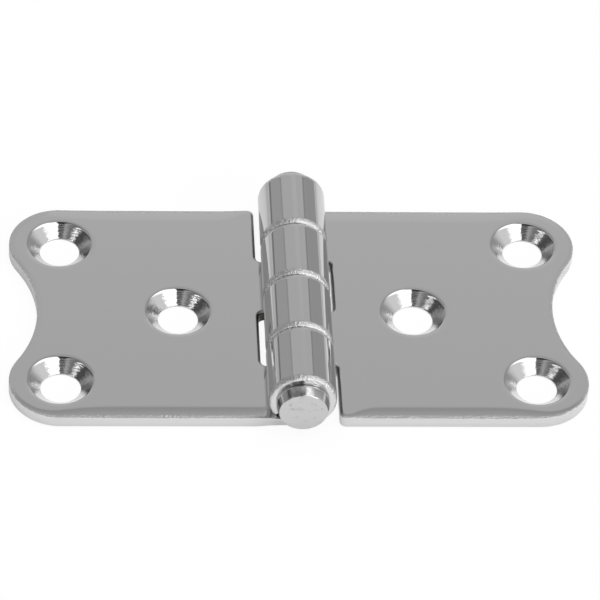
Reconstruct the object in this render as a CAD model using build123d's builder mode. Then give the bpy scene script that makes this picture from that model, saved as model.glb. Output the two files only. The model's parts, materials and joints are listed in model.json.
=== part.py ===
# A polished stainless leaf hinge: two identical leaves, each rolled from one sheet
# into alternate knuckles, turn on a pin with a head at each end.
#
# Frame: X runs across the open hinge, Y along the pin and Z up from the surface
# that it is screwed to. The origin is on that surface, under the middle of the pin.

from build123d import *
import os
from math import acos, atan2, degrees, radians, tan

# Driving dimensions, in millimetres and degrees

# Sheet and screw holes
sheet = 2.0                   # thickness of the leaves
outer_hole_reach = 36.0       # pin axis to the two outer holes of a leaf
inner_hole_reach = 18.0       # pin axis to the inner hole of a leaf
hole_pitch = 29.6             # between the two outer holes, along the pin
hole_diameter = 6.1
hole_land = 0.25              # straight wall left under the countersink
countersink_angle = 90.0
countersink_lip = 0.45        # rounding of the countersink's rim

# Outline of a leaf
lobe_radius = 7.8             # end lobes, concentric with the outer holes
waist_reach = 39.5            # pin axis to the hollow between the lobes
notch_corner = 1.0            # corners of the knuckle notches
face_round = 0.5              # rolled-over edge on the side that shows
back_round = 0.3              # broken edge on the back, and so round the knuckles

# Knuckles and pin
knuckle_count = 4             # on both leaves together
knuckle_gap = 0.2             # end play between neighbouring knuckles
notch_clearance = 0.6         # from the barrel to the edge of the other leaf
lip_gap = 0.15                # between the end of the roll and the leaf's face
pin_diameter = 6.2
pin_clearance = 0.06          # all round, between the pin and the rolled bore
head_diameter = 8.1
head_height = 2.0
head_round = 0.8              # rounded edge of the head's flat end
head_gap = 0.1                # end play under each head

# Sizes that follow from them

leaf_width = hole_pitch + 2 * lobe_radius
leaf_reach = outer_hole_reach + lobe_radius
countersink_depth = sheet - hole_land
countersink_diameter = hole_diameter + 2 * countersink_depth * tan(radians(countersink_angle / 2))

bore_radius = pin_diameter / 2 + pin_clearance
barrel_radius = bore_radius + sheet
notch_reach = barrel_radius + notch_clearance

# The end knuckles are flush with the leaves' edges
knuckle_pitch = (leaf_width + knuckle_gap) / knuckle_count
knuckle_length = knuckle_pitch - knuckle_gap

# The roll starts under the pin and comes round until it is just above the leaf
roll_angle = 360 - degrees(acos((bore_radius - lip_gap) / barrel_radius))

# The hollow end is one arc that runs smoothly into both lobes
hollow_depth = leaf_reach - waist_reach
waist_half_angle = 2 * degrees(atan2(hollow_depth, hole_pitch / 2))

# Places on the left leaf, seen from above
near_hole = (-outer_hole_reach, -hole_pitch / 2)
far_hole = (-outer_hole_reach, hole_pitch / 2)
inner_hole = (-inner_hole_reach, 0)
near_corner = (-notch_reach, -leaf_width / 2)
far_corner = (-notch_reach, leaf_width / 2)
first_knuckle = (knuckle_length - leaf_width) / 2
left_knuckles = [first_knuckle + place * knuckle_pitch for place in range(0, knuckle_count, 2)]

# Left leaf

with BuildPart() as left_leaf:
    # The flat sheet seen from above: lobed end, straight edges, knuckle roots and notches
    with BuildSketch() as outline:
        with BuildLine():
            near_lobe = CenterArc(near_hole, lobe_radius, 180 - waist_half_angle, 90 + waist_half_angle)
            far_lobe = CenterArc(far_hole, lobe_radius, 90, 90 + waist_half_angle)
            ThreePointArc(near_lobe @ 0, (-waist_reach, 0), far_lobe @ 1)
            Polyline(near_lobe @ 1, near_corner, far_corner, far_lobe @ 0)
        make_face()
        with Locations(*[(0, middle) for middle in left_knuckles]):
            Rectangle(notch_reach + notch_corner, knuckle_length, align=(Align.MAX, Align.CENTER))
        notch_edges = outline.edges().filter_by(Axis.Y).group_by(Axis.X)[0]
        fillet(notch_edges.vertices(), notch_corner)
    extrude(amount=sheet)

    # The knuckles seen from their end: each root is rolled up and over the pin
    with BuildSketch(*[Plane.XZ.offset(-middle) for middle in left_knuckles]):
        with BuildLine():
            outside = CenterArc((0, barrel_radius), barrel_radius, -90, roll_angle)
            inside = CenterArc((0, barrel_radius), bore_radius, -90, roll_angle)
            Line(outside @ 0, inside @ 0)
            Line(outside @ 1, inside @ 1)
        make_face()
    extrude(amount=knuckle_length / 2, both=True)

    with Locations(*[(x, y, sheet) for x, y in (near_hole, far_hole, inner_hole)]):
        CounterSinkHole(hole_diameter / 2, countersink_diameter / 2, counter_sink_angle=countersink_angle)

    # Edges: the last ones in X, one for each knuckle, are where the roll starts
    show_face = left_leaf.faces().filter_by(Plane.XY).sort_by(Axis.Z)[-1]
    fillet(show_face.inner_wires().edges(), countersink_lip)
    show_face = left_leaf.faces().filter_by(Plane.XY).sort_by(Axis.Z)[-1]
    fillet(show_face.outer_wire().edges().sort_by(Axis.X)[: -len(left_knuckles)], face_round)
    back_face = left_leaf.faces().filter_by(Plane.XY).sort_by(Axis.Z)[0]
    fillet(back_face.outer_wire().edges().sort_by(Axis.X)[: -len(left_knuckles)], back_round)

# Right leaf: the same leaf turned half round, so that the knuckles interleave

with BuildPart() as right_leaf:
    add(left_leaf.part, rotation=(0, 0, 180))

# Hinge pin: one half turned about the pin's axis, then mirrored to the other end

pin_plane = Plane(origin=(0, 0, barrel_radius), x_dir=(0, 1, 0), z_dir=(1, 0, 0))
pin_axis = Axis((0, 0, barrel_radius), (0, 1, 0))
head_seat = leaf_width / 2 + head_gap
head_end = head_seat + head_height

with BuildPart() as hinge_pin:
    with BuildSketch(pin_plane):
        with BuildLine():
            Polyline(
                (0, 0),
                (0, pin_diameter / 2),
                (head_seat, pin_diameter / 2),
                (head_seat, head_diameter / 2),
                (head_end, head_diameter / 2),
                (head_end, 0),
                close=True,
            )
        make_face()
    revolve(axis=pin_axis)
    fillet(hinge_pin.faces().sort_by(Axis.Y)[-1].edges(), head_round)
    mirror(about=Plane.XZ)

# One file for each piece

left_leaf.part.label = "left_leaf"
right_leaf.part.label = "right_leaf"
hinge_pin.part.label = "hinge_pin"

os.makedirs("parts", exist_ok=True)
export_step(left_leaf.part, "parts/left_leaf.step")
export_step(right_leaf.part, "parts/right_leaf.step")
export_step(hinge_pin.part, "parts/hinge_pin.step")
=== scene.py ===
# Polished stainless leaf hinge, open flat on a white table.
# The pieces are drawn in millimetres and scaled to metres when they are finished.

import json
import math

import bmesh
import bpy
import numpy as np
from mathutils import Matrix, Vector


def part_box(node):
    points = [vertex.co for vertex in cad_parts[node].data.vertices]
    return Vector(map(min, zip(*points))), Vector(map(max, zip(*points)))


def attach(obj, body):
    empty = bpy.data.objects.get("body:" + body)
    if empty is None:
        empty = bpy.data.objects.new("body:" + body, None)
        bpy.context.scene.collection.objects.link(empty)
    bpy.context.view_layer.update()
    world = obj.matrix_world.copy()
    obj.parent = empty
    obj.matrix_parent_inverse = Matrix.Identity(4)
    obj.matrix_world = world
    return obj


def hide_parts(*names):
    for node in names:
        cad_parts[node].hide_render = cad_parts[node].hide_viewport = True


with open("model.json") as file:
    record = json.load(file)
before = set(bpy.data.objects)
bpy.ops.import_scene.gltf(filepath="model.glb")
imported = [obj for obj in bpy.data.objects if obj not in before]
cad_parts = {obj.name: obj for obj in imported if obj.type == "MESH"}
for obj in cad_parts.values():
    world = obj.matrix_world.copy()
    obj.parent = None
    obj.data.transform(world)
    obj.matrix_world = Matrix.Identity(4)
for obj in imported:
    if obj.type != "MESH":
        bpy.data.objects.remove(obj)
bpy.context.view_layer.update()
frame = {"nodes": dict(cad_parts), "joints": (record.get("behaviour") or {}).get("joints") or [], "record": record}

mm = 0.001
seamGap = 0.0005               # mm, points closer than this become one in a turned shape,
joinGap = 0.002                # and where a countersink meets its leaf
colourA, colourB, mixedColour = 6, 7, 2     # places of a Mix node's colour sockets
print("frame loaded:", ", ".join(frame["nodes"]))


# Helpers

def addNode(tree, kind, inputs=None, **settings):
    node = tree.nodes.new(kind)
    for name, value in settings.items():
        setattr(node, name, value)
    for key, value in (inputs or {}).items():
        for item in value if isinstance(value, list) else [value]:
            if isinstance(item, bpy.types.NodeSocket):
                tree.links.new(item, node.inputs[key])
            else:
                node.inputs[key].default_value = item
    return node


def linear(hexColour):
    channels = [int(hexColour[i:i + 2], 16) / 255 for i in (1, 3, 5)]
    return (*[c / 12.92 if c <= 0.04045 else ((c + 0.055) / 1.055) ** 2.4 for c in channels], 1)


def newObject(name, data):
    made = bpy.data.objects.new(name, data)
    bpy.context.scene.collection.objects.link(made)
    return made


def newTree(name, inputs):
    tree = bpy.data.node_groups.new(name, "GeometryNodeTree")
    for label, kind in inputs:
        tree.interface.new_socket(label, in_out="INPUT", socket_type=kind)
    tree.interface.new_socket("Geometry", in_out="OUTPUT", socket_type="NodeSocketGeometry")
    return tree, tree.nodes.new("NodeGroupInput").outputs


# Runs a tree on an object and gives the result as a plain mesh; the object is used up
def runTree(made, tree, values):
    modifier = made.modifiers.new(tree.name, "NODES")
    modifier.node_group = tree
    for socket in tree.interface.items_tree:
        if socket.name in values:
            modifier[socket.identifier] = values[socket.name]
    evaluated = made.evaluated_get(bpy.context.evaluated_depsgraph_get())
    mesh = bpy.data.meshes.new_from_object(evaluated)
    bpy.data.objects.remove(made)
    return mesh


def finishMesh(mesh, place):
    work = bmesh.new()
    work.from_mesh(mesh)
    bmesh.ops.recalc_face_normals(work, faces=work.faces)
    work.to_mesh(mesh)
    work.free()
    mesh.transform(place)
    mesh.transform(Matrix.Scale(mm, 4))
    mesh.polygons.foreach_set("use_smooth", [True] * len(mesh.polygons))
    mesh.update()


# Materials

steel = {
    "colour": "#d7d7d7",       # stainless, neutral
    "sheared": "#5d5b57",      # cut edges that the mop doesn't reach, painted darker as shade in the narrow slots
    "shearedRoughness": 0.38,
    "roughness": 0.045,        # mirror buffed
    "haze": 0.035,             # how much rougher the buffing haze gets
    "hazeSize": 9.0,           # mm
    "hazeRange": (0.35, 0.75),     # noise values where it starts and where it is full
    "lineSize": 0.16,          # mm, buffing lines; drawn coarser than the real ones so that they show
    "lineStretch": 25.0,       # how many times longer than wide they are
    "lineDepth": 0.00008,      # mm
    "burrSize": 0.4,           # mm, burrs at cut edges and at the knuckles' ends
    "burrDepth": 0.24,         # mm
    "turnedRoughness": 0.03,   # countersinks
    "patchRange": (0.3, 0.7),  # noise values of their duller patches
    "chatterTurn": 6.0,        # tool marks: waves to a radian round the countersink,
    "chatterStep": 0.3,        # and to a row of its mesh, down it
    "chatterRows": (13.0, 21.0),   # rows from the rim to the cone, over which they set in
    "chatterDepth": 0.02,      # mm
    "pressed": "#c8c8c8",      # the pin's heads,
    "pressedRoughness": 0.14,  # duller than the sheet
    "scuffed": "#a4a4a4",
    "scuffSize": 1.3,          # mm, marks on the pressed heads
    "scuffRange": (0.55, 0.75),    # noise values where a scuff starts and where it is full
    "scuffDepth": 0.02,        # mm
}


# Stainless sheet, blanked and mirror buffed: it shows the room, a little hazed in patches,
# with hairlines from the mop that only break up the edges of reflections
def buffedStainless():
    made = bpy.data.materials.new("buffed_stainless_sheet")
    made.use_nodes = True
    tree = made.node_tree
    shader = tree.nodes["Principled BSDF"]
    place = addNode(tree, "ShaderNodeTexCoord").outputs["Object"]
    haze = addNode(tree, "ShaderNodeTexNoise", {
        "Vector": place, "Scale": 1 / (steel["hazeSize"] * mm), "Detail": 4.0})
    clear, hazed = steel["hazeRange"]
    rough = addNode(tree, "ShaderNodeMapRange", {
        "Value": haze.outputs["Fac"], "From Min": clear, "From Max": hazed,
        "To Min": steel["roughness"], "To Max": steel["roughness"] + steel["haze"]})
    along = addNode(tree, "ShaderNodeMapping", {
        "Vector": place, "Scale": (1 / steel["lineStretch"], 1.0, 1.0)})
    lines = addNode(tree, "ShaderNodeTexNoise", {
        "Vector": along.outputs["Vector"], "Scale": 1 / (steel["lineSize"] * mm), "Detail": 2.0})
    hairlines = addNode(tree, "ShaderNodeBump", {
        "Height": lines.outputs["Fac"], "Distance": steel["lineDepth"] * mm, "Strength": 1.0})
    cutEnds = addNode(tree, "ShaderNodeAttribute", attribute_name="burr")
    burrs = addNode(tree, "ShaderNodeTexNoise", {
        "Vector": place, "Scale": 1 / (steel["burrSize"] * mm), "Detail": 3.0, "Roughness": 0.6})
    bump = addNode(tree, "ShaderNodeBump", {
        "Height": burrs.outputs["Fac"], "Distance": steel["burrDepth"] * mm,
        "Strength": cutEnds.outputs["Fac"], "Normal": hairlines.outputs["Normal"]})
    # the notches' cut walls: rougher, and painted darker as shade in the narrow slots
    raw = addNode(tree, "ShaderNodeAttribute", attribute_name="sheared").outputs["Fac"]
    colour = addNode(tree, "ShaderNodeMix", {
        "Factor": raw, colourA: linear(steel["colour"]), colourB: linear(steel["sheared"])},
        data_type="RGBA")
    dull = addNode(tree, "ShaderNodeMix", {
        "Factor": raw, "A": rough.outputs["Result"], "B": steel["shearedRoughness"]})
    shader.inputs["Metallic"].default_value = 1.0
    tree.links.new(colour.outputs[mixedColour], shader.inputs["Base Color"])
    tree.links.new(dull.outputs["Result"], shader.inputs["Roughness"])
    tree.links.new(bump.outputs["Normal"], shader.inputs["Normal"])
    return made


# Stainless, cut by a turning tool: bright, a little duller in patches; the grooves are in the mesh,
# and chatter marks round the cone break up the borders of the reflections
def turnedStainless():
    made = bpy.data.materials.new("turned_stainless")
    made.use_nodes = True
    tree = made.node_tree
    shader = tree.nodes["Principled BSDF"]
    place = addNode(tree, "ShaderNodeTexCoord").outputs["Object"]
    patches = addNode(tree, "ShaderNodeTexNoise", {
        "Vector": place, "Scale": 1 / (steel["scuffSize"] * mm), "Detail": 4.0})
    bright, dull = steel["patchRange"]
    rough = addNode(tree, "ShaderNodeMapRange", {
        "Value": patches.outputs["Fac"], "From Min": bright, "From Max": dull,
        "To Min": steel["turnedRoughness"], "To Max": steel["turnedRoughness"] + steel["haze"]})
    toolPath = addNode(tree, "ShaderNodeAttribute", attribute_name="tool_path").outputs["Vector"]
    row = addNode(tree, "ShaderNodeSeparateXYZ", {0: toolPath}).outputs["Z"]
    rim, cone = steel["chatterRows"]
    cut = addNode(tree, "ShaderNodeMapRange", {"Value": row, "From Min": rim, "From Max": cone})
    spread = addNode(tree, "ShaderNodeMapping", {
        "Vector": toolPath, "Scale": (steel["chatterTurn"], steel["chatterTurn"], steel["chatterStep"])})
    chatter = addNode(tree, "ShaderNodeTexNoise", {
        "Vector": spread.outputs["Vector"], "Scale": 1.0, "Detail": 1.0})
    bump = addNode(tree, "ShaderNodeBump", {
        "Height": chatter.outputs["Fac"], "Distance": steel["chatterDepth"] * mm,
        "Strength": cut.outputs["Result"]})
    shader.inputs["Base Color"].default_value = linear(steel["colour"])
    shader.inputs["Metallic"].default_value = 1.0
    tree.links.new(rough.outputs["Result"], shader.inputs["Roughness"])
    tree.links.new(bump.outputs["Normal"], shader.inputs["Normal"])
    return made


# Stainless rod with pressed heads, buffed: bright, with shallow scuffs left by the press
def pressedStainless():
    made = bpy.data.materials.new("pressed_stainless_rod")
    made.use_nodes = True
    tree = made.node_tree
    shader = tree.nodes["Principled BSDF"]
    place = addNode(tree, "ShaderNodeTexCoord").outputs["Object"]
    scuffs = addNode(tree, "ShaderNodeTexNoise", {
        "Vector": place, "Scale": 1 / (steel["scuffSize"] * mm), "Detail": 5.0, "Roughness": 0.6})
    smooth, scuffed = steel["scuffRange"]
    worn = addNode(tree, "ShaderNodeMapRange", {
        "Value": scuffs.outputs["Fac"], "From Min": smooth, "From Max": scuffed})
    bump = addNode(tree, "ShaderNodeBump", {
        "Height": worn.outputs["Result"], "Distance": steel["scuffDepth"] * mm, "Strength": 1.0})
    colour = addNode(tree, "ShaderNodeMix", {
        "Factor": worn.outputs["Result"], colourA: linear(steel["pressed"]),
        colourB: linear(steel["scuffed"])}, data_type="RGBA")
    tree.links.new(colour.outputs[mixedColour], shader.inputs["Base Color"])
    shader.inputs["Metallic"].default_value = 1.0
    shader.inputs["Roughness"].default_value = steel["pressedRoughness"]
    tree.links.new(bump.outputs["Normal"], shader.inputs["Normal"])
    return made


sheetFinish = buffedStainless()
turnedFinish = turnedStainless()
rodFinish = pressedStainless()
print("materials made")


# Turned shapes: the tree spins a half profile, drawn in XZ, about the Z axis

def lathe():
    tree, given = newTree("turned_shape", [
        ("Geometry", "NodeSocketGeometry"), ("Segments", "NodeSocketInt"),
        ("Material", "NodeSocketMaterial")])
    profile, segments = given["Geometry"], given["Segments"]
    count = addNode(tree, "GeometryNodeAttributeDomainSize", {
        "Geometry": profile}, component="CURVE").outputs["Point Count"]
    columns = addNode(tree, "ShaderNodeMath", {0: segments, 1: 1.0}, operation="ADD").outputs[0]
    grid = addNode(tree, "GeometryNodeMeshGrid", {"Vertices X": columns, "Vertices Y": count})
    index = addNode(tree, "GeometryNodeInputIndex").outputs[0]
    row = addNode(tree, "ShaderNodeMath", {0: index, 1: count}, operation="MODULO").outputs[0]
    share = addNode(tree, "ShaderNodeMath", {0: index, 1: count}, operation="DIVIDE").outputs[0]
    column = addNode(tree, "ShaderNodeMath", {0: share}, operation="FLOOR").outputs[0]
    turn = addNode(tree, "ShaderNodeMath", {0: column, 1: segments}, operation="DIVIDE").outputs[0]
    angle = addNode(tree, "ShaderNodeMath", {0: turn, 1: math.tau}, operation="MULTIPLY").outputs[0]
    position = addNode(tree, "GeometryNodeInputPosition").outputs[0]
    place = addNode(tree, "GeometryNodeSampleIndex", {
        "Geometry": profile, "Value": position, "Index": row}, data_type="FLOAT_VECTOR")
    spun = addNode(tree, "ShaderNodeVectorRotate", {
        "Vector": place.outputs[0], "Angle": angle}, rotation_type="Z_AXIS")
    moved = addNode(tree, "GeometryNodeSetPosition", {
        "Geometry": grid.outputs["Mesh"], "Position": spun.outputs[0]})
    start = addNode(tree, "ShaderNodeCombineXYZ", {"X": 1.0, "Z": row}).outputs[0]
    toolPath = addNode(tree, "ShaderNodeVectorRotate", {
        "Vector": start, "Angle": angle}, rotation_type="Z_AXIS")
    marked = addNode(tree, "GeometryNodeStoreNamedAttribute", {
        "Geometry": moved.outputs[0], "Name": "tool_path", "Value": toolPath.outputs[0]},
        data_type="FLOAT_VECTOR", domain="POINT")
    turned = addNode(tree, "GeometryNodeStoreNamedAttribute", {
        "Geometry": marked.outputs[0], "Name": "turned", "Value": True},
        data_type="BOOLEAN", domain="FACE")
    closed = addNode(tree, "GeometryNodeMergeByDistance", {
        "Geometry": turned.outputs[0], "Distance": seamGap})
    plain = addNode(tree, "GeometryNodeRealizeInstances", {"Geometry": closed.outputs[0]})
    painted = addNode(tree, "GeometryNodeSetMaterial", {
        "Geometry": plain.outputs[0], "Material": given["Material"]})
    addNode(tree, "NodeGroupOutput", {"Geometry": painted.outputs[0]})
    return tree


# Points on an arc, with its start and end in degrees
def roundTo(centre, radius, start, end, steps):
    angles = [math.radians(start + (end - start) * k / steps) for k in range(steps + 1)]
    return [(centre[0] + radius * math.cos(a), centre[1] + radius * math.sin(a)) for a in angles]


def turnedMesh(name, profile, segments, finish):
    curve = bpy.data.curves.new(name, "CURVE")
    curve.dimensions = "3D"
    spline = curve.splines.new("POLY")
    spline.points.add(len(profile) - 1)
    for point, (radius, height) in zip(spline.points, profile):
        point.co = (radius, 0, height, 1)
    return runTree(newObject(name, curve), lathe(), {"Segments": segments, "Material": finish})


# Leaves

leafLow, leafHigh = (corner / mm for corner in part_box("left_leaf"))
mounts = {mount["name"]: mount for mount in frame["record"]["mounts"]}
outerScrews = mounts["left_outer_screws"]
barrelRadius = frame["joints"][0]["pos_m"][2] / mm
outerReach = -outerScrews["pos_m"][0] / mm
innerReach = -mounts["left_inner_screw"]["pos_m"][0] / mm
holePitch = outerScrews["dims"]["spacing_y_mm"]
holeRadius = outerScrews["dims"]["hole_r_mm"]
leafReach = -leafLow.x
leafWidth = leafHigh.y - leafLow.y

leaf = {                       # millimetres
    "sheet": 2.0,
    "waistReach": 39.5,        # pin axis to the hollow end
    "notchGap": 0.6,           # from the barrel to the edge of the other leaf
    "notchCorner": 1.0,
    "knuckles": 4,             # on both leaves together
    "knuckleGap": 0.1,
    "lipGap": 0.15,            # under the end of the roll
    "lipCorner": 0.5,
    "straightEdge": (2.5, 0.2),    # width and depth of the buffed-over edges
    "lobeEdge": (0.9, 0.05),
    "lobeBlend": 4.0,              # over this length the straight edges run into the lobes'
    "edgeBlend": 1.4,              # or into a corner's,
    "cornerEdge": (0.8, 0.06),     # the leaf's own corner beside a notch,
    "cornerRun": 1.5,              # with this length of edge past it,
    "cornerBlend": 0.5,            # which soon runs into the notch's
    "notchEdge": (0.5, 0.35),
    "lipBand": 0.1,                # what is this close to a notch's long wall is its lip,
    "lipShear": 0.75,              # which is less rough and gets less painted slot shade than the end walls
    "shearBlend": 0.3,             # over this length the rough parts with painted slot shade fade out
    "boreEdge": (0.45, 0.42),      # inside the knuckles
    "corner": 0.03,                # what is left of the cut edge below the buffing
    "edgeBurr": 0.9,               # how rough it is
    "burrBlend": 0.8,              # over this length the knuckles' rough ends fade out
    "backEdge": (0.15, 0.12),      # broken edge on the back
    "knuckleEdge": (0.95, 0.5),    # the same edge, outside on the knuckles' ends
    "sinkEdge": 4.98,          # radius where cone and face would meet
    "rimSoft": 0.28,           # buffed-over rim of the countersinks
    "rimDrop": 0.7,            # its depth, as a share of its width
    "rimDish": (0.5, 0.008),   # width and depth of the buffed hollow round it
    "grooves": 9,              # tool marks down a countersink
    "grooveDepth": 0.002,
    "grooveUneven": (0.5, 1.7),    # by what share they differ, and how fast
    "holeLand": 0.25,
    "holeBack": 0.06,          # broken edge of the holes on the back
    "rollSteps": 132,          # points along a roll,
    "holeSteps": 144,          # round a hole,
    "dishSteps": 7,            # across its hollow
    "rimSteps": 10,            # and across its rim
    "edgeStep": 1.0,           # between points on a straight edge,
    "cornerStep": 0.5,         # beside a corner
    "lipStep": 2.0,            # and at the end of a roll
    "lobeTurn": 3,             # degrees between points on the lobes,
    "notchTurn": 6,            # on the corners of the notches
    "lipTurn": 18,             # and on those of the rolls' ends
}
knucklePitch = (leafWidth + leaf["knuckleGap"]) / leaf["knuckles"]
knuckleLength = knucklePitch - leaf["knuckleGap"]
boreRadius = barrelRadius - leaf["sheet"]
notchReach = barrelRadius + leaf["notchGap"]
cornerEnd = -notchReach - leaf["notchCorner"]      # where the far edge starts, past its corner
rollAngle = math.tau - math.acos((boreRadius - leaf["lipGap"]) / barrelRadius)
rimRadius = leaf["sinkEdge"] + leaf["rimSoft"] + leaf["rimDish"][0]
holeCentres = [(-outerReach, -holePitch / 2), (-outerReach, holePitch / 2), (-innerReach, 0)]
guard = 0.06                   # flat strip beside each rounding, so that the flat shades flat


def lineTo(points, end, step, edge):
    start = np.array(points[-1][:2])
    end = np.array(end)
    steps = max(1, round(float(np.linalg.norm(end - start)) / step))
    points += [(*(start + (end - start) * k / steps), *edge) for k in range(1, steps + 1)]


def arcTo(points, centre, radius, start, end, edge, step):
    steps = max(3, round(abs(end - start) / step))
    points += [(*p, *edge) for p in roundTo(centre, radius, start, end, steps)[1:]]


# The blank's outline, anticlockwise from the near edge, with the knuckles still flat.
# It gives the points with their edge's width and depth, and where each knuckle's sides start.
def blankOutline():
    notch, corner = notchReach, leaf["notchCorner"]
    near, far = -leafWidth / 2, leafWidth / 2
    straight, lobed = leaf["straightEdge"], leaf["lobeEdge"]
    tight, bore, outer = leaf["notchEdge"], leaf["boreEdge"], leaf["cornerEdge"]
    step, lip = leaf["edgeStep"], leaf["lipCorner"]
    lobeTurn, notchTurn, lipTurn = leaf["lobeTurn"], leaf["notchTurn"], leaf["lipTurn"]
    lobe = leafReach - outerReach
    hollow = 2 * math.degrees(math.atan2(leafReach - leaf["waistReach"], holePitch / 2))
    waistRadius = (holePitch / 2) / math.sin(math.radians(hollow)) - lobe
    waistCentre = (-leaf["waistReach"] - waistRadius, 0)
    root = corner - notch
    tip = rollAngle * barrelRadius - lip
    rollStations = [tip * k / leaf["rollSteps"] for k in range(leaf["rollSteps"] + 1)]
    stations = [root, root / 2] + rollStations

    points = [(-outerReach, near, *straight)]
    lineTo(points, (root, near), step, straight)
    sides = []
    for knuckle in range(0, leaf["knuckles"], 2):           # every other one is the other leaf's
        low = near + knuckle * knucklePitch
        high = low + knuckleLength
        if knuckle:
            lineTo(points, (-notch, low - corner), step, tight)
            arcTo(points, (root, low - corner), corner, 180, 90, tight, notchTurn)
        first = len(points) - 1
        points += [(x, low, *bore) for x in stations[1:]]
        arcTo(points, (tip, low + lip), lip, -90, 0, bore, lipTurn)
        lineTo(points, (tip + lip, high - lip), leaf["lipStep"], bore)
        arcTo(points, (tip, high - lip), lip, 0, 90, bore, lipTurn)
        last = len(points) - 1 + len(stations) - 1
        points += [(x, high, *bore) for x in stations[-2::-1]]
        sides.append((first, last, len(stations)))
        arcTo(points, (root, high + corner), corner, -90, -180, tight, notchTurn)
    lineTo(points, (-notch, far - corner), step, tight)
    arcTo(points, (cornerEnd, far - corner), corner, 0, 90, outer, notchTurn)
    lineTo(points, (cornerEnd - leaf["cornerRun"], far), leaf["cornerStep"], outer)
    lineTo(points, (-outerReach, far), step, straight)
    arcTo(points, (-outerReach, holePitch / 2), lobe, 90, 180 + hollow, lobed, lobeTurn)
    arcTo(points, waistCentre, waistRadius, hollow, -hollow, lobed, lobeTurn)
    arcTo(points, (-outerReach, -holePitch / 2), lobe, 180 - hollow, 270, lobed, lobeTurn)
    return np.array(points[:-1]), sides


# Blurs values along a closed outline with a bell curve, over a distance in millimetres
def blurAlong(outline, values, reach):
    steps = np.linalg.norm(np.roll(outline, -1, 0) - outline, axis=1)
    place = np.concatenate([[0], np.cumsum(steps)[:-1]])
    total = steps.sum()
    apart = np.abs(place[:, None] - place[None, :])
    apart = np.minimum(apart, total - apart)
    weight = np.exp(-0.5 * (apart / np.broadcast_to(reach, (len(outline),))[:, None]) ** 2)
    weight *= (steps + np.roll(steps, 1))[None, :]
    return (weight @ values) / weight.sum(1).reshape(-1, *[1] * (values.ndim - 1))


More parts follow.
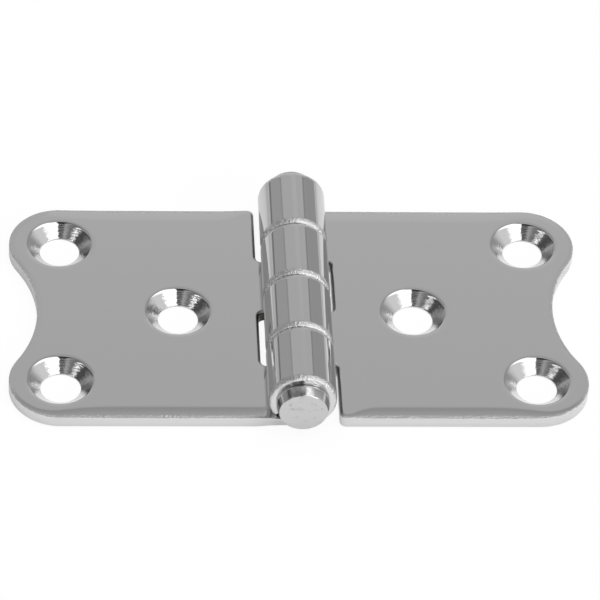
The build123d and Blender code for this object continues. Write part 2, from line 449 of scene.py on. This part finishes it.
def blankMesh():
    points, sides = blankOutline()
    outline = points[:, :2]
    ahead = np.roll(outline, -1, 0) - np.roll(outline, 1, 0)
    outward = np.stack([ahead[:, 1], -ahead[:, 0]], 1)
    outward /= np.linalg.norm(outward, axis=1)[:, None]
    reaches = (-outerReach, -innerReach, cornerEnd - leaf["cornerRun"], cornerEnd)
    blends = [leaf[name] for name in ("lobeBlend", "edgeBlend", "edgeBlend", "cornerBlend")]
    blend = np.interp(outline[:, 0], reaches, blends)
    faceSoft, faceDrop = blurAlong(outline, points[:, 2:], blend).T
    inward = -blurAlong(outline, outward, 0.5 * faceSoft)       # turns gradually round the corners
    inward /= np.linalg.norm(inward, axis=1)[:, None]
    rolled = outline[:, 0] > leaf["notchCorner"] - notchReach
    notched = points[:, 3] == leaf["notchEdge"][1]
    straight = np.abs(outline[:, 0] + notchReach) < leaf["lipBand"]
    onKnuckle = blurAlong(outline, rolled * 1.0, leaf["burrBlend"])
    onLip = blurAlong(outline, (notched & straight) * 1.0, leaf["shearBlend"])
    onEndWall = blurAlong(outline, (notched & ~straight) * 1.0, leaf["shearBlend"])
    backSoft, backDrop = (onKnuckle * knuckle + (1 - onKnuckle) * back
                          for knuckle, back in zip(leaf["knuckleEdge"], leaf["backEdge"]))

    # Rings from the face over the edge to the back: how far in they are, and their height.
    # Those over the face's edge lie closest together where it starts and ends.
    face, corner = np.full(len(points), leaf["sheet"]), leaf["corner"]
    rings = [(faceSoft + guard, face)]
    rings += [(corner + (faceSoft - corner) * (1 - t), face - faceDrop * t * t)
              for t in (0, 0.08, 0.16, 0.25, 0.35, 0.45, 0.55, 0.65, 0.75, 0.85, 0.94, 0.98, 1)]
    cut = len(rings)                            # the finish and the painted slot shade are marked on rings counted from the cut edge
    notchLip = range(cut - 9, cut + 1)
    notchWall = range(cut - 3, cut + 4)
    cutEdge = range(cut - 4, cut + 2)
    rings += [(0 * face, face - faceDrop - down) for down in (corner, corner + guard)]
    rings.append((0 * face, backDrop + guard))
    cutEnd = range(len(rings), len(rings) + 6)
    rings += [(backSoft * (1 - math.sin(a)), backDrop * (1 - math.cos(a)))
              for a in np.radians([90, 75, 60, 45, 30, 15, 0])]
    rings.append((backSoft + guard, 0 * face))

    work = bmesh.new()
    burr = work.verts.layers.float.new("burr")          # where cut edges and the knuckles' ends are rough
    sheared = work.verts.layers.float.new("sheared")    # where the mop doesn't reach, in the notches: rougher, and painted darker as shade in the narrow slots
    loops = []
    for number, (inset, height) in enumerate(rings):
        ring = outline + inward * inset[:, None]
        loops.append([work.verts.new((x, y, z)) for (x, y), z in zip(ring, height)])
        endShare, edgeShare = number in cutEnd, leaf["edgeBurr"] * (number in cutEdge)
        lipShare, wallShare = leaf["lipShear"] * (number in notchLip), number in notchWall
        for vertex, knuckle, lip, wall in zip(loops[-1], onKnuckle, onLip, onEndWall):
            vertex[burr] = knuckle * endShare + (1 - knuckle) * edgeShare
            vertex[sheared] = lip * lipShare + wall * wallShare
    count = len(outline)
    for upper, lower in zip(loops, loops[1:]):
        for i in range(count):
            j = (i + 1) % count
            work.faces.new((upper[i], lower[i], lower[j], upper[j]))
    holeEdges = (rimRadius + guard, holeRadius + leaf["holeBack"] + guard)      # on the face and the back
    for ring, holeEdge in zip((loops[0], loops[-1]), holeEdges):
        plate, reached = [], 0
        for first, last, stations in sides:
            for k in range(stations - 1):
                work.faces.new((ring[first + k], ring[first + k + 1], ring[last - k - 1], ring[last - k]))
            work.faces.new(ring[first + stations - 1:last - stations + 2])
            plate += ring[reached:first + 1]
            reached = last
        plate += ring[reached:]
        borders = [work.edges.get((a, b)) for a, b in zip(plate, plate[1:] + plate[:1])]
        for x, y in holeCentres:
            turns = np.arange(leaf["holeSteps"]) * math.tau / leaf["holeSteps"]
            spots = [(x + holeEdge * math.cos(a), y + holeEdge * math.sin(a), ring[0].co.z) for a in turns]
            circle = [work.verts.new(spot) for spot in spots]
            borders += [work.edges.new((a, b)) for a, b in zip(circle, circle[1:] + circle[:1])]
        bmesh.ops.triangle_fill(work, use_beauty=True, use_dissolve=False, edges=borders, normal=(0, 0, 1))
    mesh = bpy.data.meshes.new("leaf_blank")
    work.to_mesh(mesh)
    work.free()
    return mesh


# One countersink, from the face's side of its rim down to the back
def countersinkProfile():
    face, edge, land = leaf["sheet"], leaf["sinkEdge"], leaf["holeLand"]
    rim, soft = leaf["rimSoft"], leaf["holeBack"]
    dish, dishDepth = leaf["rimDish"]
    uneven, pace = leaf["grooveUneven"]
    slope = (edge - holeRadius) / (face - land)
    drop = rim * leaf["rimDrop"]
    profile = [(rimRadius + guard, face)]
    profile += [(rimRadius - dish * t, face) for t in np.linspace(0, 1, leaf["dishSteps"] + 1)[:-1]]
    for t in np.linspace(0, 1, leaf["rimSteps"] + 1):       # a smooth bend from the face into the cone
        profile.append((edge + (1 - t) ** 2 * rim - t * t * drop * slope, face - t * t * drop))
    profile = [(r, z - dishDepth * (max(rimRadius - r, 0) / dish) ** 2) for r, z in profile]
    top, start = profile[-1]
    steps = 4 * leaf["grooves"]
    for k in range(1, steps + 1):                           # the cone, with four points to a groove
        cut = leaf["grooveDepth"] * math.sin(k * math.pi / 2) * (1 + uneven * math.sin(pace * k))
        radius = top + (holeRadius - top) * k / steps
        profile.append((radius - cut, start + (land - start) * k / steps + cut))
    middle, bend = 0.6 * land, 0.3 * soft                   # on the straight wall, and on the back's round
    profile += [(holeRadius, middle), (holeRadius, soft), (holeRadius + bend, bend)]
    profile += [(holeRadius + soft, 0.0), (holeRadius + soft + guard, 0.0)]
    return profile


# Rolls the knuckles round the pin and sets the countersinks in
def pressedLeaf():
    tree, given = newTree("pressed_leaf", [
        ("Geometry", "NodeSocketGeometry"), ("Barrel Radius", "NodeSocketFloat"),
        ("Countersink", "NodeSocketObject"), ("Hole Centres", "NodeSocketObject"),
        ("Sheet", "NodeSocketMaterial"), ("Turned", "NodeSocketMaterial")])
    radius = given["Barrel Radius"]
    position = addNode(tree, "GeometryNodeInputPosition").outputs[0]
    place = addNode(tree, "ShaderNodeSeparateXYZ", {0: position}).outputs
    flat = addNode(tree, "ShaderNodeMath", {0: place["X"], 1: 0.0}, operation="MINIMUM").outputs[0]
    past = addNode(tree, "ShaderNodeMath", {0: place["X"], 1: 0.0}, operation="MAXIMUM").outputs[0]
    angle = addNode(tree, "ShaderNodeMath", {0: past, 1: radius}, operation="DIVIDE").outputs[0]
    reach = addNode(tree, "ShaderNodeMath", {0: radius, 1: place["Z"]}, operation="SUBTRACT").outputs[0]
    sine = addNode(tree, "ShaderNodeMath", {0: angle}, operation="SINE").outputs[0]
    cosine = addNode(tree, "ShaderNodeMath", {0: angle}, operation="COSINE").outputs[0]
    rolledX = addNode(tree, "ShaderNodeMath", {
        0: reach, 1: sine, 2: flat}, operation="MULTIPLY_ADD").outputs[0]
    drop = addNode(tree, "ShaderNodeMath", {0: reach, 1: cosine}, operation="MULTIPLY").outputs[0]
    rolledZ = addNode(tree, "ShaderNodeMath", {0: radius, 1: drop}, operation="SUBTRACT").outputs[0]
    rolled = addNode(tree, "ShaderNodeCombineXYZ", {"X": rolledX, "Y": place["Y"], "Z": rolledZ})
    bent = addNode(tree, "GeometryNodeSetPosition", {
        "Geometry": given["Geometry"], "Position": rolled.outputs[0]})
    centres = addNode(tree, "GeometryNodeObjectInfo", {"Object": given["Hole Centres"]})
    sink = addNode(tree, "GeometryNodeObjectInfo", {"Object": given["Countersink"]})
    sinks = addNode(tree, "GeometryNodeInstanceOnPoints", {
        "Points": centres.outputs["Geometry"], "Instance": sink.outputs["Geometry"]})
    whole = addNode(tree, "GeometryNodeJoinGeometry", {"Geometry": [bent.outputs[0], sinks.outputs[0]]})
    plain = addNode(tree, "GeometryNodeRealizeInstances", {"Geometry": whole.outputs[0]})
    joined = addNode(tree, "GeometryNodeMergeByDistance", {
        "Geometry": plain.outputs[0], "Distance": joinGap})
    turned = addNode(tree, "GeometryNodeInputNamedAttribute", {"Name": "turned"}, data_type="BOOLEAN")
    sheet = addNode(tree, "GeometryNodeSetMaterial", {
        "Geometry": joined.outputs[0], "Material": given["Sheet"]})
    painted = addNode(tree, "GeometryNodeSetMaterial", {
        "Geometry": sheet.outputs[0], "Selection": turned.outputs["Attribute"],
        "Material": given["Turned"]})
    addNode(tree, "NodeGroupOutput", {"Geometry": painted.outputs[0]})
    return tree


sinkMesh = turnedMesh("countersink_profile", countersinkProfile(), leaf["holeSteps"], turnedFinish)
sink = newObject("countersink", sinkMesh)
centres = bpy.data.meshes.new("hole_centres")
centres.from_pydata([(x, y, 0) for x, y in holeCentres], [], [])
centreMarks = newObject("hole_centres", centres)
leafMesh = runTree(newObject("leaf_blank", blankMesh()), pressedLeaf(), {
    "Barrel Radius": barrelRadius, "Countersink": sink, "Hole Centres": centreMarks,
    "Sheet": sheetFinish, "Turned": turnedFinish})
for helper in (sink, centreMarks):
    bpy.data.objects.remove(helper)
otherMesh = leafMesh.copy()
finishMesh(leafMesh, Matrix.Identity(4))
finishMesh(otherMesh, Matrix.Rotation(math.pi, 4, "Z"))
for side, mesh in (("left", leafMesh), ("right", otherMesh)):
    made = newObject(f"{side}_leaf_sheet", mesh)
    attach(made, side)
    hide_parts(f"{side}_leaf")
    print(made.name, len(mesh.polygons), "faces")


# Pin

pinLow, pinHigh = (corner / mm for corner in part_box("hinge_pin"))

pin = {                        # millimetres
    "diameter": 6.2,
    "headGap": 0.05,           # from a head to its knuckle
    "headBack": 0.45,          # rounded back edge of a head
    "headTaper": 0.4,          # how much a head narrows towards its face
    "nearRound": 0.28,         # rounded edge of the near head's pressed face,
    "farRound": 0.85,          # and of the far head's
    "faceDish": 0.03,          # the face is a little hollow,
    "dishShare": 0.6,          # with a floor of this share of its radius
    "steps": 160,              # points round the pin
    "roundSteps": 8,           # and across a rounded edge
}


# Half of the pin's profile from its middle to the centre of one face
def pinProfile(face):
    headRadius = (pinHigh.x - pinLow.x) / 2
    end = (pinHigh.y - pinLow.y) / 2
    seat = leafWidth / 2 + pin["headGap"]
    shank, back, steps = pin["diameter"] / 2, pin["headBack"], pin["roundSteps"]
    small = headRadius - pin["headTaper"]
    dish = end - pin["faceDish"]
    slope = math.degrees(math.atan2(pin["headTaper"], end - seat - back))
    profile = [(shank, 0.0), (shank, seat), (headRadius - back, seat)]
    profile += roundTo((headRadius - back, seat + back), back, -90, slope, steps)[1:]
    profile += roundTo((small - face, end - face), face, slope, 90, steps)
    profile += [(small - face - guard, end), (pin["dishShare"] * small, dish), (0.0, dish)]
    return profile


nearHalf, farHalf = pinProfile(pin["nearRound"]), pinProfile(pin["farRound"])
whole = [(r, -h) for r, h in reversed(nearHalf[1:])] + farHalf
pinMesh = turnedMesh("pin_profile", whole, pin["steps"], rodFinish)
finishMesh(pinMesh, Matrix.Translation((0, 0, barrelRadius)) @ Matrix.Rotation(-math.pi / 2, 4, "X"))
pinPiece = newObject("hinge_pin_rod", pinMesh)
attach(pinPiece, "left")
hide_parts("hinge_pin")
print(pinPiece.name, len(pinMesh.polygons), "faces")


# Table and room

room = {
    "table": "#f7f7f7",
    "tableHalf": 3.0,          # metres, half the table's side
    "tableLow": -2e-5,         # metres, just under the leaves
    "tableGlow": 0.93,         # share of the table's white that doesn't take the hinge's shadow
    "glowInMetal": 0.25,       # the same in reflections, so that narrow slots stay dark in the metal
    "tableAway": (-0.35, 0.8, 0),   # painted shade: the table gets darker this way, to the back and left, over these metres from the hinge's middle, down to this share; only in reflections, not to the eye
    "tableFall": (-0.01, 0.09),     # over these metres from the hinge's middle,
    "tableFar": 0.55,               # down to this share
    "horizon": 0.85,           # brightness of the room near the table,
    "overhead": 0.50,          # and above,
    "heights": (5.0, 60.0),    # degrees up, between which the one runs into the other
    "lampWatts": 3.7,          # softbox over the table; it lights the table alone
    "lampSize": 0.9,           # metres
    "lampPlace": (-0.1, 0.1, 0.9),
}
# Walls, strips and softboxes round the hinge, each over what comes before it. Limits in degrees:
# azimuth from the camera's side towards +X, elevation, lean from straight up towards +X,
# along from straight up towards the back; then brightness and how soft the borders are
walls = [
    {"name": "roof_sides", "lean": (-60, 60), "along": (8, 60), "level": 0.37, "soft": 4},
    {"name": "roof", "lean": (-7, 14), "along": (10, 50), "level": 0.64, "soft": 4},
    {"name": "roof_end", "lean": (-70, 70), "along": (29, 90), "level": 0.36, "soft": 15},
    {"name": "camera_side", "lean": (-47, 9), "along": (-80, 14), "level": 0.22, "soft": 3},
    {"name": "camera_side_lit", "lean": (-27, -13), "along": (-60, -10), "level": 0.46, "soft": 7},
    {"name": "overhead_gap", "lean": (-14, 8), "along": (-34, 8), "level": 0.05, "soft": 2},
    {"name": "right_softbox", "lean": (5, 43), "along": (-62, 4), "level": 1.7, "soft": 1.2},
    {"name": "right_softbox_end", "lean": (11, 43), "along": (2, 26), "level": 1.7, "soft": 1.2},
    {"name": "right_softbox_low", "lean": (50, 70), "along": (-62, -20), "level": 4, "soft": 2},
    {"name": "left_strip", "lean": (-50.5, -44.5), "along": (-40, 1), "level": 1.7, "soft": 1},
    {"name": "dark_door", "lean": (-69, -50.5), "along": (-35, 36), "level": 0.09, "soft": 2},
    {"name": "left_wall", "lean": (-98, -69), "along": (-35, 44), "level": 0.36, "soft": 3},
    {"name": "right_wall", "lean": (43, 96), "along": (-24, 44), "level": 0.84, "soft": 2},
    {"name": "back_right_side", "lean": (30, 88), "along": (15, 90), "level": 0.375, "soft": 4,
     "alongSoft": 16},
    {"name": "back_left_side", "lean": (-88, -20), "along": (38, 90), "level": 0.42, "soft": 4},
    {"name": "left_corner", "lean": (-83, -78), "along": (40, 56), "level": 0.18, "soft": 2},
    {"name": "right_post", "azimuth": (147.4, 152), "elevation": (4, 47), "level": 0.27, "soft": 0.7},
    {"name": "left_post", "azimuth": (-153, -148.6), "elevation": (4, 47), "level": 0.36, "soft": 0.7},
    {"name": "back_right", "azimuth": (150, 190), "elevation": (-9, 47.8), "level": 0.53, "soft": 1,
     "elevationSoft": 2.2},
    {"name": "back_left", "azimuth": (-190, -151.6), "elevation": (-9, 47.8), "level": 0.53, "soft": 1,
     "elevationSoft": 2.2},
    {"name": "back_glow", "azimuth": (167, 200), "elevation": (-9, 43), "level": 0.6, "soft": 3},
    {"name": "back_low_right", "azimuth": (152, 196), "elevation": (-30, 30), "level": 0.64, "soft": 10},
    {"name": "back_low_left", "azimuth": (-196, -162), "elevation": (-30, 30), "level": 0.64, "soft": 10},
]


def studioRoom():
    world = bpy.data.worlds.new("studio_room")
    world.use_nodes = True
    tree = world.node_tree
    direction = addNode(tree, "ShaderNodeTexCoord").outputs["Generated"]
    aim = addNode(tree, "ShaderNodeSeparateXYZ", {0: direction}).outputs
    front = addNode(tree, "ShaderNodeMath", {0: aim["Y"], 1: -1.0}, operation="MULTIPLY").outputs[0]
    angles = {
        "azimuth": addNode(tree, "ShaderNodeMath", {0: aim["X"], 1: front}, operation="ARCTAN2"),
        "elevation": addNode(tree, "ShaderNodeMath", {0: aim["Z"]}, operation="ARCSINE"),
        "lean": addNode(tree, "ShaderNodeMath", {0: aim["X"], 1: aim["Z"]}, operation="ARCTAN2"),
        "along": addNode(tree, "ShaderNodeMath", {0: aim["Y"]}, operation="ARCSINE"),
    }
    for name, angle in angles.items():
        angles[name] = addNode(tree, "ShaderNodeMath", {
            0: angle.outputs[0]}, operation="DEGREES").outputs[0]
    low, high = room["heights"]
    level = addNode(tree, "ShaderNodeMapRange", {
        "Value": angles["elevation"], "From Min": low, "From Max": high,
        "To Min": room["horizon"], "To Max": room["overhead"]}).outputs["Result"]
    for wall in walls:
        mask = 1.0
        for name in angles:
            soft = wall.get(name + "Soft", wall["soft"])
            for limit, sign in zip(wall.get(name, ()), (1, -1)):
                mask = addNode(tree, "ShaderNodeMapRange", {
                    "Value": angles[name], "From Min": limit - sign * soft,
                    "From Max": limit + sign * soft, "To Max": mask},
                    interpolation_type="SMOOTHSTEP").outputs["Result"]
        level = addNode(tree, "ShaderNodeMix", {
            "Factor": mask, "A": level, "B": wall["level"]}).outputs["Result"]
    tree.links.new(level, tree.nodes["Background"].inputs["Strength"])
    tree.nodes["Background"].inputs["Color"].default_value = (1, 1, 1, 1)
    bpy.context.scene.world = world


# White laminate table: it mostly glows to the eye, so that the hinge's shadow is faint,
# and less so in the metal's reflections, where it carries painted shade, darker to the back and left
def whiteTable():
    made = bpy.data.materials.new("white_table")
    made.use_nodes = True
    tree = made.node_tree
    tree.nodes.clear()
    path = addNode(tree, "ShaderNodeLightPath").outputs
    eye = addNode(tree, "ShaderNodeMath", {
        0: path["Is Camera Ray"], 1: path["Is Transmission Ray"]}, operation="MAXIMUM").outputs[0]
    eyeGlow = addNode(tree, "ShaderNodeMath", {0: eye, 1: room["tableGlow"]}, operation="MULTIPLY")
    glow = addNode(tree, "ShaderNodeMath", {
        0: path["Is Glossy Ray"], 1: room["glowInMetal"], 2: eyeGlow.outputs[0]},
        operation="MULTIPLY_ADD").outputs[0]
    place = addNode(tree, "ShaderNodeTexCoord").outputs["Object"]
    # painted shade: darker to the back and left, seen only in reflections
    away = addNode(tree, "ShaderNodeVectorMath", {
        0: place, 1: room["tableAway"]}, operation="DOT_PRODUCT").outputs["Value"]
    paintedFalloff = addNode(tree, "ShaderNodeMapRange", {
        "Value": away, "From Min": room["tableFall"][0], "From Max": room["tableFall"][1],
        "To Min": 1.0, "To Max": room["tableFar"]}).outputs["Result"]
    seen = addNode(tree, "ShaderNodeMath", {0: eye, 1: paintedFalloff}, operation="MAXIMUM").outputs[0]
    lit = addNode(tree, "ShaderNodeVectorMath", {
        0: linear(room["table"])[:3], 1: seen}, operation="MULTIPLY").outputs[0]
    matt = addNode(tree, "ShaderNodeBsdfDiffuse", {"Color": lit})
    shine = addNode(tree, "ShaderNodeEmission", {"Color": seen, "Strength": 1.0})
    mixed = addNode(tree, "ShaderNodeMixShader", {0: glow, 1: matt.outputs[0], 2: shine.outputs[0]})
    addNode(tree, "ShaderNodeOutputMaterial", {"Surface": mixed.outputs[0]})
    return made


half, low = room["tableHalf"], room["tableLow"]
corners = [(-half, -half, low), (half, -half, low), (half, half, low), (-half, half, low)]
floorMesh = bpy.data.meshes.new("table")
floorMesh.from_pydata(corners, [], [(0, 1, 2, 3)])
floorMesh.materials.append(whiteTable())
newObject("table", floorMesh)
studioRoom()
lamp = bpy.data.lights.new("table_softbox", "AREA")
lamp.size = room["lampSize"]
lamp.energy = room["lampWatts"]
softbox = newObject("table_softbox", lamp)
softbox.location = room["lampPlace"]
softbox.visible_glossy = False


# Camera: a long lens, a little to the left of the pin and turned slightly

shot = {
    "yaw": 4.951,              # degrees, turned to the right,
    "down": 44.174,            # tipped down
    "roll": 3.647,             # and leaning over
    "distance": 0.73842,       # metres
    "aim": (0.000922, 0.004635, 0),
    "lens": 287.906,           # mm
    "sensor": 36,              # mm
    "nearest": 0.01,           # metres
}
yaw, down, roll = (math.radians(shot[key]) for key in ("yaw", "down", "roll"))
forward = Vector((math.sin(yaw) * math.cos(down), math.cos(yaw) * math.cos(down), -math.sin(down)))
level = Vector((math.cos(yaw), -math.sin(yaw), 0))
upright = level.cross(forward)
right = math.cos(roll) * level + math.sin(roll) * upright
upward = math.cos(roll) * upright - math.sin(roll) * level
camera = newObject("camera", bpy.data.cameras.new("camera"))
camera.data.lens = shot["lens"]
camera.data.sensor_width = shot["sensor"]
camera.data.clip_start = shot["nearest"]
spot = Vector(shot["aim"]) - forward * shot["distance"]
camera.matrix_world = Matrix((right, upward, -forward)).transposed().to_4x4()
camera.location = spot
bpy.context.scene.camera = camera
bpy.context.scene.view_settings.view_transform = "Standard"
print("stage and camera set")
